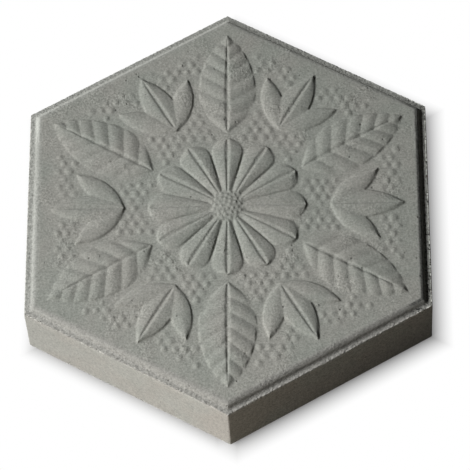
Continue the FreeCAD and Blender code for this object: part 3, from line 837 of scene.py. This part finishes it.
def concrete():
    """Pressed concrete: a grey-green face, warmer sides and back, sand grain and small air holes, with
    painted highlights and painted shade in its tone.
    """
    material = bpy.data.materials.new("pressed_concrete")
    material.use_nodes = True
    tree = material.node_tree
    shader = tree.nodes["Principled BSDF"]
    shader.inputs["Roughness"].default_value = 0.92
    shader.inputs["Specular IOR Level"].default_value = 0.2
    spot = Spot(tree)
    sand = noise(tree, spot.place, SAND_SIZE, 2.0)
    grit = noise(tree, spot.place, GRIT_SIZE, 1.0)
    mottle = noise(tree, spot.place, MOTTLE_SIZE, 3.0)
    backing = backing_share(tree, spot, grit, mottle)
    worn = worn_share(tree, spot, backing)
    front = remap(tree, spot.y, FRONT_Y, 1.0, 0.0)
    right = remap(tree, spot.x, RIGHT_X, 0.0, 1.0)
    edge = remap(tree, spot.outwards, FACE_EDGE, 0.0, 1.0)
    hole = air_holes(tree, spot)

    # The colour, made paler or darker by one tone, which holds painted highlights and painted shade as well
    # as the grain.
    tone = total(tree, 1.0, shoulder_painted_highlight(tree, spot), arris_pits_and_painted_highlight(tree, spot, grit),
                 painted_crease_shade(tree, spot, front, right),
                 grain_tone(tree, spot, backing, worn, sand, grit, mottle))
    tone = product(tree, calc(tree, "MAXIMUM", tone, LEAST_TONE),
                   chips_and_painted_shade(tree, spot, backing, right, grit),
                   calc(tree, "SUBTRACT", 1.0, product(tree, hole, HOLE_SHADE)),
                   painted_light_gradient(tree, spot, backing, edge))
    scaled = node(tree, "ShaderNodeVectorMath", operation="SCALE")
    tree.links.new(concrete_colour(tree, spot, backing, edge, front), scaled.inputs[0])
    tree.links.new(tone, scaled.inputs["Scale"])
    tree.links.new(scaled.outputs[0], shader.inputs["Base Color"])

    # The surface, rougher where it is worn and smoother on the backing.
    relief = total(tree, product(tree, sand, 0.16), product(tree, mottle, 0.25),
                   product(tree, grit, total(tree, 0.1, product(tree, worn, 0.4))))
    relief = calc(tree, "SUBTRACT", relief, product(tree, hole, 0.5))
    relief = product(tree, relief, calc(tree, "SUBTRACT", 1.0, product(tree, backing, 0.5)))
    bump = node(tree, "ShaderNodeBump")
    bump.inputs["Strength"].default_value = 1.0
    bump.inputs["Distance"].default_value = MM
    tree.links.new(relief, bump.inputs["Height"])
    tree.links.new(bump.outputs["Normal"], shader.inputs["Normal"])
    return material


# The long painted shadow on the floor and the narrow painted one where the tile touches it.
SHADOW_SHIFT = (3.85 * MM, 6.75 * MM)
SHADOW_SLACK = (-0.15 * MM, 8.2 * MM)
SHADOW_REACH = 10.5 * MM
SHADOW_DEPTH = 14.5 * MM
SHADOW_SHARE = 0.8
CONTACT_SHIFT = (-8.0 * MM, -9.8 * MM)
CONTACT_SLACK = (-4.5 * MM, -4.5 * MM)
CONTACT_DEPTH = 9 * MM
CONTACT_SHARE = 0.36
SHADOW_SOFTNESS = 1.5

# The surround.
FLOOR_SIZE = 6
FLOOR_GREY = (0.35, 0.35, 0.35, 1)
FLOOR_GLOW = (0.05, 0.043, 0.028, 1)
SURROUND_GLOW = (0.0100, 0.0094, 0.0075, 1)
WHITE = (1, 1, 1, 1)
BLACK = (0, 0, 0, 1)

# The lamps.
LAMP_PLACE = (-1.19, -0.23, 0.963)
LAMP_LENGTH = 2.0
LAMP_WIDTH = 0.275
LAMP_POWER = 43.5
CARD_PLACE = (-0.12, -0.42, 0.1)
CARD_SIZE = 0.2
CARD_POWER = 0.133
CARD_COLOUR = (1.0, 0.90, 0.74)

# The camera, fitted to the photograph's view.
CAMERA_PLACE = (72.2 * MM, -1050.8 * MM, 1811.7 * MM)
CAMERA_PITCH = math.radians(90 - 59.75)
CAMERA_TURN = math.radians(3.76)
CAMERA_ROLL = math.radians(-4.5)
SENSOR_WIDTH = 36
PICTURE_PIXELS = 470
FOCAL_PIXELS = 3318.0
SHIFT_PIXELS = (0.15, -0.1)


def seen_share(tree):
    """1 for rays that carry the picture, straight or by way of gloss or glass, 0 for light alone."""
    rays = node(tree, "ShaderNodeLightPath").outputs
    indirect = calc(tree, "MAXIMUM", rays["Is Glossy Ray"], rays["Is Transmission Ray"])
    return calc(tree, "MAXIMUM", rays["Is Camera Ray"], indirect)


def painted_shadow_band(tree, shift, slack, reach, depth, strength):
    """A painted soft shadow band round a hexagon, full inside it and gone at its reach."""
    limits = (HALF_FLATS + reach - depth, HALF_FLATS + reach)
    near = remap(tree, Spot(tree, shift, slack).outwards, limits, 1.0, 0.0)
    return product(tree, calc(tree, "POWER", near, SHADOW_SOFTNESS), strength)


def floor_material():
    """A pale floor that blows out to white, but for a narrow soft painted shadow round the tile."""
    material = bpy.data.materials.new("pale_floor")
    material.use_nodes = True
    tree = material.node_tree
    tree.nodes.clear()
    # Painted shadows: bands drawn round shifted hexagons; within them the eye sees the floor's lit grey
    # instead of white.
    shadow = painted_shadow_band(tree, SHADOW_SHIFT, SHADOW_SLACK, SHADOW_REACH, SHADOW_DEPTH, SHADOW_SHARE)
    contact = painted_shadow_band(tree, CONTACT_SHIFT, CONTACT_SLACK, 0.0, CONTACT_DEPTH, CONTACT_SHARE)
    shadow = calc(tree, "MINIMUM", total(tree, shadow, contact), 1.0)
    seen = seen_share(tree)
    # Rays that only carry light see the floor as it is lit, its colour darkened by the painted shadow; the
    # eye sees it overexposed.
    lit_share = calc(tree, "MAXIMUM", shadow, calc(tree, "SUBTRACT", 1.0, seen))
    diffuse = node(tree, "ShaderNodeBsdfDiffuse")
    carried = blend(tree, shadow, FLOOR_GLOW, BLACK)
    tree.links.new(blend(tree, seen, carried, FLOOR_GREY), diffuse.inputs["Color"])
    white = node(tree, "ShaderNodeEmission")
    white.inputs["Strength"].default_value = 1.0
    mix = node(tree, "ShaderNodeMixShader")
    tree.links.new(lit_share, mix.inputs[0])
    tree.links.new(white.outputs[0], mix.inputs[1])
    tree.links.new(diffuse.outputs[0], mix.inputs[2])
    output = node(tree, "ShaderNodeOutputMaterial")
    tree.links.new(mix.outputs[0], output.inputs["Surface"])
    return material


def make_stage():
    """The pale floor and the white surround."""
    bpy.ops.object.select_all(action="DESELECT")
    bpy.ops.mesh.primitive_plane_add(size=FLOOR_SIZE)
    floor = bpy.context.object
    floor.name = "floor"
    floor.data.materials.append(floor_material())
    world = bpy.data.worlds.new("surround")
    bpy.context.scene.world = world
    world.use_nodes = True
    tree = world.node_tree
    background = tree.nodes["Background"]
    tree.links.new(blend(tree, seen_share(tree), SURROUND_GLOW, WHITE), background.inputs["Color"])


def add_lamp(name, place, target, power):
    """An area lamp that faces a point."""
    bpy.ops.object.light_add(type="AREA")
    lamp = bpy.context.object
    lamp.name = name
    lamp.location = place
    lamp.rotation_euler = (Vector(target) - Vector(place)).to_track_quat("-Z", "Y").to_euler()
    lamp.data.energy = power
    return lamp


def make_lamps():
    """A long low softbox on the left, and a small warm card that lifts the front sides."""
    softbox = add_lamp("softbox", LAMP_PLACE, (0, LAMP_PLACE[1], 0), LAMP_POWER)
    softbox.data.shape = "RECTANGLE"
    softbox.data.size = LAMP_LENGTH
    softbox.data.size_y = LAMP_WIDTH
    card = add_lamp("card", CARD_PLACE, (0, 0, 0), CARD_POWER)
    card.data.size = CARD_SIZE
    card.data.color = CARD_COLOUR


def make_camera():
    """The photograph's view: from above the front corner, slightly turned and rolled."""
    bpy.ops.object.camera_add()
    camera = bpy.context.object
    camera.location = CAMERA_PLACE
    camera.data.shift_x = SHIFT_PIXELS[0] / PICTURE_PIXELS
    camera.data.shift_y = SHIFT_PIXELS[1] / PICTURE_PIXELS
    tilt = Euler((CAMERA_PITCH, 0, CAMERA_TURN), "XYZ").to_matrix()
    roll = Matrix.Rotation(CAMERA_ROLL, 3, "Z")
    camera.rotation_euler = (tilt @ roll).to_euler()
    camera.data.sensor_width = SENSOR_WIDTH
    camera.data.lens = SENSOR_WIDTH * FOCAL_PIXELS / PICTURE_PIXELS
    camera.data.clip_end = 20
    bpy.context.scene.camera = camera


make_camera()
tile = make_tile()
tile.data.materials.clear()
tile.data.materials.append(concrete())
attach(tile, "root")
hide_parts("tile")
make_stage()
make_lamps()
bpy.context.scene.view_settings.view_transform = "Standard"
